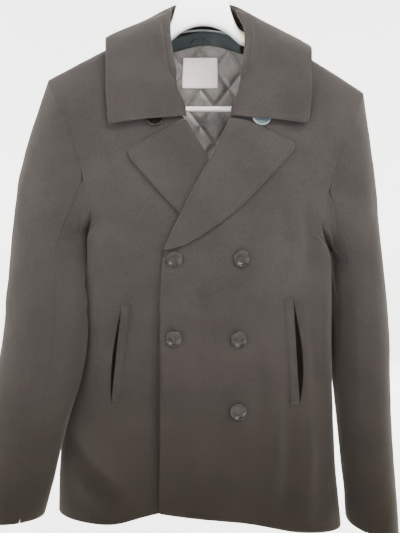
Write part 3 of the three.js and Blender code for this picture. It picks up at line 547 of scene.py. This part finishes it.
class PEACOAT_OT_body(bpy.types.Operator):
    """Builds the backs and fronts with their creases"""

    bl_idname = "peacoat.body"
    bl_label = "Backs and fronts"

    def execute(self, context):
        for node in ("back_right", "back_left", "front_right", "front_left"):
            move = on_trunk(context.scene.pea_coat.crease, node)
            cloth(node, finish_of("melton"), "melton", 3, move, let_out=0.34)
        # A strip of the seam's own allowance closes the centre back seam from inside
        bm = bmesh.new()
        bmesh.ops.create_grid(bm, x_segments=2, y_segments=60, size=0.5)
        for vert in bm.verts:
            vert.co = (-0.004 + vert.co.x * 0.012, 0, -0.7 + vert.co.y * 0.40)
        laid(bm, bpy.data.objects["back_left_cloth"], 0.5, 0.02)
        for vert in bm.verts:
            vert.co.x -= 0.008
        bmesh.ops.solidify(bm, geom=bm.faces[:], thickness=0.8 * MM)
        placed(bm, "back_seam_allowance", finish_of("melton"))
        return {"FINISHED"}


class PEACOAT_OT_collar(bpy.types.Operator):
    """Builds the collar and lapels"""

    bl_idname = "peacoat.collar"
    bl_label = "Collar and lapels"

    def execute(self, context):
        for node, hand in (("lapel_right", -1), ("lapel_left", 1)):
            cloth(node, finish_of("melton"), "melton", 3, on_trunk(0), "folded", ("front_right", "front_left"),
                  0.34, sewn=lambda at, hand=hand: hand * at.x > -0.02 and at.z > -0.505)
        cloth("collar", finish_of("melton"), "melton", 3, uneven(1.0), "folded", ("back_left", "back_right"),
              0.34, sewn=lambda at: abs(at.x) > 0.105 or at.z < -0.305 or at.y > 0.075)
        return {"FINISHED"}


class PEACOAT_OT_sleeves(bpy.types.Operator):
    """Builds both sleeves with their creases"""

    bl_idname = "peacoat.sleeves"
    bl_label = "Sleeves"

    def execute(self, context):
        for hand in ("right", "left"):
            move = on_sleeve(hand, context.scene.pea_coat.crease)
            for part in ("upper", "under"):
                cloth(f"sleeve_{part}_{hand}", finish_of("melton"), "melton", 3, move, let_out=0.3)
        return {"FINISHED"}


# Pocket slits in millimetres: their line, how far they gape, the way they gape, where they are widest
SLITS = {
    "right": {"top": (-121.5, -588), "foot": (-136.5, -723), "gape": 5.5, "way": -1, "low": 1.15},
    "left": {"top": (119, -580), "foot": (128.5, -727), "gape": 9.5, "way": 1, "low": 1.25},
}


def flush(slit):
    """Moves a welt's cloth: it stands at the slit and sinks into the front on its far side."""
    (top_x, top_z), (foot_x, foot_z) = slit["top"], slit["foot"]

    def move(co):
        down = (co.z / MM - top_z) / (foot_z - top_z)
        line = top_x + (foot_x - top_x) * down
        away = min(max(-slit["way"] * (co.x / MM - line) / 13, 0), 1)
        ends = min(max(1 - min(down, 1 - down) / 0.06, 0), 1)
        sunk = Vector((0, 1, 0)) * (3.4 * max(away, ends) - 0.9) * MM
        return sunk + Vector((0, -0.3, 0)) * noise.noise(co * 60) * MM

    return move


def laid(bm, onto, height, start=-0.3):
    """Drops points on a cloth, a little off its face, from a place ahead of it."""
    tree = faces_of(onto)
    for vert in bm.verts:
        hit = tree.ray_cast(Vector((vert.co.x, start, vert.co.z)), Vector((0, 1, 0)))
        if hit[0] is None:
            raise RuntimeError(f"nothing of {onto.name} lies under a point at {vert.co}")
        vert.co = hit[0] + hit[1] * height * MM * (1 if hit[1].y < 0 else -1)


class PEACOAT_OT_pockets(bpy.types.Operator):
    """Builds the two pocket welts"""

    bl_idname = "peacoat.pockets"
    bl_label = "Pocket welts"

    def execute(self, context):
        for hand in ("right", "left"):
            front = bpy.data.objects[f"front_{hand}_cloth"]
            slit = SLITS[hand]
            cloth(f"pocket_welt_{hand}", finish_of("melton"), "melton", 3, flush(slit), "folded",
                  (f"front_{hand}",), 0.3)
            # A near-black sheet laid on the front along the slit: painted shadow of the pocket's open mouth.
            bm = bmesh.new()
            bmesh.ops.create_grid(bm, x_segments=6, y_segments=40, size=0.5)
            top, foot = slit["top"], slit["foot"]
            for vert in bm.verts:
                down = 0.5 - vert.co.y
                gape = slit["gape"] * math.sin(math.pi * down ** slit["low"]) ** 0.8
                x = top[0] + (foot[0] - top[0]) * down + slit["way"] * gape * (vert.co.x + 0.5)
                vert.co = (x * MM, 0, (top[1] + (foot[1] - top[1]) * down) * MM)
            laid(bm, front, 0.25)
            placed(bm, f"pocket_mouth_shadow_{hand}", finish_of("slit_shadow"))
        return {"FINISHED"}


# The piping's line along the top of the neck band, as (x, z) in millimetres
PIPING = [(-76, -170), (-60, -163), (-36, -156), (-12, -152), (14, -154), (36, -160), (54, -168)]


def strung(onto, line, radius, name, material):
    """A cord sewn along a line on a cloth."""
    tree = faces_of(onto)
    curve = bpy.data.curves.new(name, "CURVE")
    curve.dimensions = "3D"
    curve.bevel_depth = radius
    curve.bevel_resolution = 3
    curve.use_fill_caps = True
    run = curve.splines.new("NURBS")
    run.points.add(len(line) - 1)
    run.use_endpoint_u = True
    for point, (x, z) in zip(run.points, line):
        spot = tree.find_nearest(Vector((x * MM, 0.03, z * MM)))[0]
        point.co = (x * MM, spot.y - radius * 0.6, z * MM, 1)
    made = bpy.data.objects.new(name, curve)
    mesh = bpy.data.meshes.new_from_object(made)
    bpy.data.objects.remove(made)
    bm = bmesh.new()
    bm.from_mesh(mesh)
    return placed(bm, name, material)


class PEACOAT_OT_inside(bpy.types.Operator):
    """Builds the quilted lining, neck band, loop and label"""

    bl_idname = "peacoat.inside"
    bl_label = "Lining, neck band, loop and label"

    def execute(self, context):
        cloth("lining_back", finish_of("lining"), "lining", 3, None, "hung", ("back_left", "back_right"))
        cloth("neck_band", finish_of("facing"), "neck_facing", 2, None, "hung", ("back_left", "back_right"))
        cloth("hang_loop", finish_of("facing"), "neck_facing", 2, None, "hung", ("neck_band",))
        cloth("label", finish_of("label"), "label", 2, None, "hung", ("lining_back",))
        band = bpy.data.objects["neck_band_cloth"]
        strung(band, PIPING, 1.5 * MM, "neck_piping", finish_of("piping"))
        return {"FINISHED"}


def seat_of(node):
    """Centre of a button's back, the way it faces, and its radius."""
    points = np.unique(np.round([v.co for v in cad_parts[node].data.vertices], 6), axis=0)
    centre = points.mean(0)
    _, _, turn = np.linalg.svd(points - centre)
    way = turn[2]
    wanted = 1 if node == "button_side" else -1
    if way[1] * wanted < 0:
        way = -way
    heights = (points - centre) @ way
    flat = points - centre - np.outer(heights, way)
    return Vector(centre + way * heights.min()), Vector(way), float(np.linalg.norm(flat, axis=1).max())


def turned(bm, profile, segments, place):
    """Spins a profile of (radius, height) pairs in metres round its axis, then places it."""
    verts = [bm.verts.new((r, 0, h)) for r, h in profile]
    edges = [bm.edges.new(pair) for pair in zip(verts, verts[1:])]
    bmesh.ops.spin(bm, geom=verts + edges, cent=(0, 0, 0), axis=(0, 0, 1), angle=math.tau,
                   steps=segments, use_merge=True)
    bmesh.ops.remove_doubles(bm, verts=bm.verts, dist=1e-6)
    bmesh.ops.recalc_face_normals(bm, faces=bm.faces)
    bmesh.ops.transform(bm, matrix=place, verts=bm.verts)


def bead(bm, start, end, thick, detail=1):
    """One strand of thread from start to end."""
    run = Vector(end) - Vector(start)
    turn = run.to_track_quat("Z", "Y").to_matrix().to_4x4()
    size = Matrix.Diagonal((thick, thick, run.length * 0.56, 1))
    middle = Matrix.Translation((Vector(start) + Vector(end)) / 2)
    bmesh.ops.create_icosphere(bm, subdivisions=detail, radius=1, matrix=middle @ turn @ size)


# A button's section as shares of its radius and thickness: flat back, rounded rim, dished middle
BUTTON_SECTION = [
    (0, 0), (0.8, 0), (0.95, 0.25), (1.0, 0.6), (0.97, 0.92), (0.9, 1.03), (0.82, 1.0),
    (0.76, 0.82), (0.7, 0.6), (0.5, 0.46), (0.3, 0.42), (0.12, 0.44), (0, 0.44),
]
# A worked buttonhole in millimetres: its stitches run from the button's middle to the front's edge
HOLE = {"stitches": 26, "start": -2, "pitch": 0.62, "rows": (0.25, 1.9), "height": 0.15, "thread": 0.28}


class PEACOAT_OT_buttons(bpy.types.Operator):
    """Builds the rimmed buttons and the threads that sew them on"""

    bl_idname = "peacoat.buttons"
    bl_label = "Buttons"

    def execute(self, context):
        names = [f"button_{i}" for i in range(1, 6)] + ["button_side", "button_collar_right", "button_collar_left"]
        threads = bmesh.new()
        for name in names:
            seat, way, radius = seat_of(name)
            collar = "collar" in name
            thick = (2.6 if collar else 3.5) * MM
            profile = [(r * radius, h * thick) for r, h in BUTTON_SECTION]
            place = Matrix.Translation(seat) @ way.to_track_quat("Z", "Y").to_matrix().to_4x4()
            bm = bmesh.new()
            turned(bm, profile, 32, place)
            # The right collar button, in shade under the collar, takes the dark horn finish instead of the
            # blue-grey one: painted shade.
            look = "collar_button" if name == "button_collar_left" else "button"
            smoothed(placed(bm, f"{name}_turned", finish_of(look), [name]), 1)
            high = thick * 0.56
            apart = 1.9 * MM
            for row in (-1, 1):
                for strand in (-0.3, 0, 0.3):
                    y = (row * 1.15 + strand * 0.8) * MM
                    start, end = (place @ Vector((x, y, high)) for x in (-apart, apart))
                    bead(threads, start, end, 0.34 * MM, 2)
        placed(threads, "button_threads", finish_of("thread"))
        tree = faces_of(bpy.data.objects["front_left_cloth"])
        worked = bmesh.new()
        for name in ("button_1", "button_3"):
            seat, _, _ = seat_of(name)
            for i in range(HOLE["stitches"]):
                for side in (-1, 1):
                    along = (HOLE["start"] - i * HOLE["pitch"]) * MM
                    ends = []
                    for across in HOLE["rows"]:
                        spot = tree.ray_cast(Vector((seat.x + along, -0.3, seat.z + side * across * MM)),
                                             Vector((0, 1, 0)))[0]
                        if spot:
                            ends.append(spot + Vector((0, -HOLE["height"], 0)) * MM)
                    if len(ends) == 2:
                        bead(worked, ends[0], ends[1], HOLE["thread"] * MM)
        placed(worked, "buttonholes", finish_of("thread"))
        return {"FINISHED"}


class PEACOAT_OT_stitching(bpy.types.Operator):
    """Sews the rows of stitches beside the finished edges"""

    bl_idname = "peacoat.stitching"
    bl_label = "Edge stitching"

    def execute(self, context):
        sizes = context.scene.pea_coat
        for node, runs in RIMS.items():
            tree = faces_of(bpy.data.objects[f"{node}_cloth"])
            bm = bmesh.new()
            for start, end, inward in runs:
                count = max(1, round((end - start).length / sizes.stitch))
                for i in range(count):
                    spot = start.lerp(end, (i + 0.5) / count) + inward * sizes.inset
                    run = (end - start).normalized() * sizes.stitch * 0.38
                    ends = []
                    for at in (spot - run, spot + run):
                        place, way, _, _ = tree.find_nearest(at)
                        ends.append(place + way * 0.12 * MM)
                    if (ends[0] - ends[1]).length > 0.5 * MM:
                        bead(bm, ends[0], ends[1], 0.3 * MM)
            placed(bm, f"{node}_stitches", finish_of("thread"))
        return {"FINISHED"}


class PEACOAT_OT_cuts(bpy.types.Operator):
    """A step kept in the list that does nothing; no flat cut is declared"""

    bl_idname = "peacoat.cuts"
    bl_label = "Flat cuts"

    def execute(self, context):
        return {"FINISHED"}


class PEACOAT_OT_hanger(bpy.types.Operator):
    """Builds the moulded hanger, its trouser bar and its wire hook"""

    bl_idname = "peacoat.hanger"
    bl_label = "Hanger"

    def execute(self, context):
        for node, look, levels in (("hanger_body", "hanger", 2), ("trouser_bar", "bar", 1),
                                   ("hanger_hook", "hook", 1)):
            smoothed(placed(fresh(node), f"{node}_moulded", finish_of(look), [node]), levels)
        return {"FINISHED"}


def area_light(name, place, aim, size, power, warmth):
    """A soft square light."""
    lamp = bpy.data.lights.new(name, "AREA")
    lamp.size = size
    lamp.energy = power
    lamp.color = warmth
    made = bpy.data.objects.new(name, lamp)
    bpy.context.scene.collection.objects.link(made)
    made.location = place
    made.rotation_euler = (Vector(aim) - Vector(place)).to_track_quat("-Z", "Y").to_euler()
    return made


class PEACOAT_OT_stage(bpy.types.Operator):
    """Builds the pale floor and backdrop, the soft lights and the camera"""

    bl_idname = "peacoat.stage"
    bl_label = "Stage"

    def execute(self, context):
        flat, bend, tall, floor_z = 3.4, 0.8, 4.4, -1.12
        bm = bmesh.new()
        profile = [(0, 0), (flat, 0)]
        for i in range(1, 9):
            angle = math.pi / 2 * i / 8
            profile.append((flat + bend * math.sin(angle), bend * (1 - math.cos(angle))))
        profile.append((flat + bend, tall))
        turned(bm, profile, 96, Matrix.Translation((0, 0, floor_z)))
        bmesh.ops.reverse_faces(bm, faces=bm.faces)

        def wash(tree, place):
            return blend(tree, grain(tree, place, 300, 2), linear("#f6f6f5"), linear("#fbfbfa"))

        mesh = bpy.data.meshes.new("studio_sweep")
        bm.to_mesh(mesh)
        bm.free()
        mesh.polygons.foreach_set("use_smooth", [True] * len(mesh.polygons))
        # Lit a little from behind, as a bright wall is
        paper = shader("lit_paper", wash, 0.9, Emission_Color=linear("#fffdfa"), Emission_Strength=1.1)
        mesh.materials.append(paper)
        floor = bpy.data.objects.new("studio_sweep", mesh)
        context.scene.collection.objects.link(floor)
        lights = [
            area_light("key", (1.1, -2.1, 1.1), (0, 0, -0.45), 1.3, 150, (1, 0.98, 0.96)),
            area_light("fill", (-1.9, -1.9, 0.2), (0, 0, -0.5), 2.0, 70, (0.98, 0.98, 1)),
            area_light("top", (0, 0.3, 1.8), (0, 0, -0.4), 1.8, 40, (1, 1, 1)),
            area_light("behind", (0.4, 2.6, 0.6), (0, 0, -0.5), 2.0, 110, (1, 1, 1)),
        ]
        world = bpy.data.worlds.new("studio")
        context.scene.world = world
        world.use_nodes = True
        sky = world.node_tree.nodes["Background"].inputs
        sky["Color"].default_value = linear("#dfe2e6")
        sky["Strength"].default_value = 0.85
        lens = bpy.data.cameras.new("photo")
        lens.lens = 43.9
        lens.sensor_width = 36
        camera = bpy.data.objects.new("photo", lens)
        context.scene.collection.objects.link(camera)
        camera.location = (-0.012, -1.0, -0.534)
        camera.rotation_euler = (math.pi / 2, 0, 0)
        context.scene.camera = camera
        return {"FINISHED"}


class PEACOAT_PT_steps(bpy.types.Panel):
    """Lists the steps that build the coat"""

    bl_label = "Pea coat"
    bl_idname = "PEACOAT_PT_steps"
    bl_space_type = "VIEW_3D"
    bl_region_type = "UI"
    bl_category = "Pea coat"

    def draw(self, context):
        sizes = context.scene.pea_coat
        for name in PeaCoatSizes.__annotations__:
            self.layout.prop(sizes, name)
        for step in STEPS:
            self.layout.operator(step.bl_idname)


STEPS = (
    PEACOAT_OT_body,
    PEACOAT_OT_collar,
    PEACOAT_OT_sleeves,
    PEACOAT_OT_pockets,
    PEACOAT_OT_inside,
    PEACOAT_OT_buttons,
    PEACOAT_OT_stitching,
    PEACOAT_OT_cuts,
    PEACOAT_OT_hanger,
    PEACOAT_OT_stage,
)


def register():
    for kind in (PeaCoatSizes, *STEPS, PEACOAT_PT_steps):
        bpy.utils.register_class(kind)
    bpy.types.Scene.pea_coat = bpy.props.PointerProperty(type=PeaCoatSizes)


def unregister():
    del bpy.types.Scene.pea_coat
    for kind in reversed((PeaCoatSizes, *STEPS, PEACOAT_PT_steps)):
        bpy.utils.unregister_class(kind)


def main():
    register()
    for step in STEPS:
        area, piece = step.bl_idname.split(".")
        getattr(getattr(bpy.ops, area), piece)()


if __name__ == "__main__":
    main()
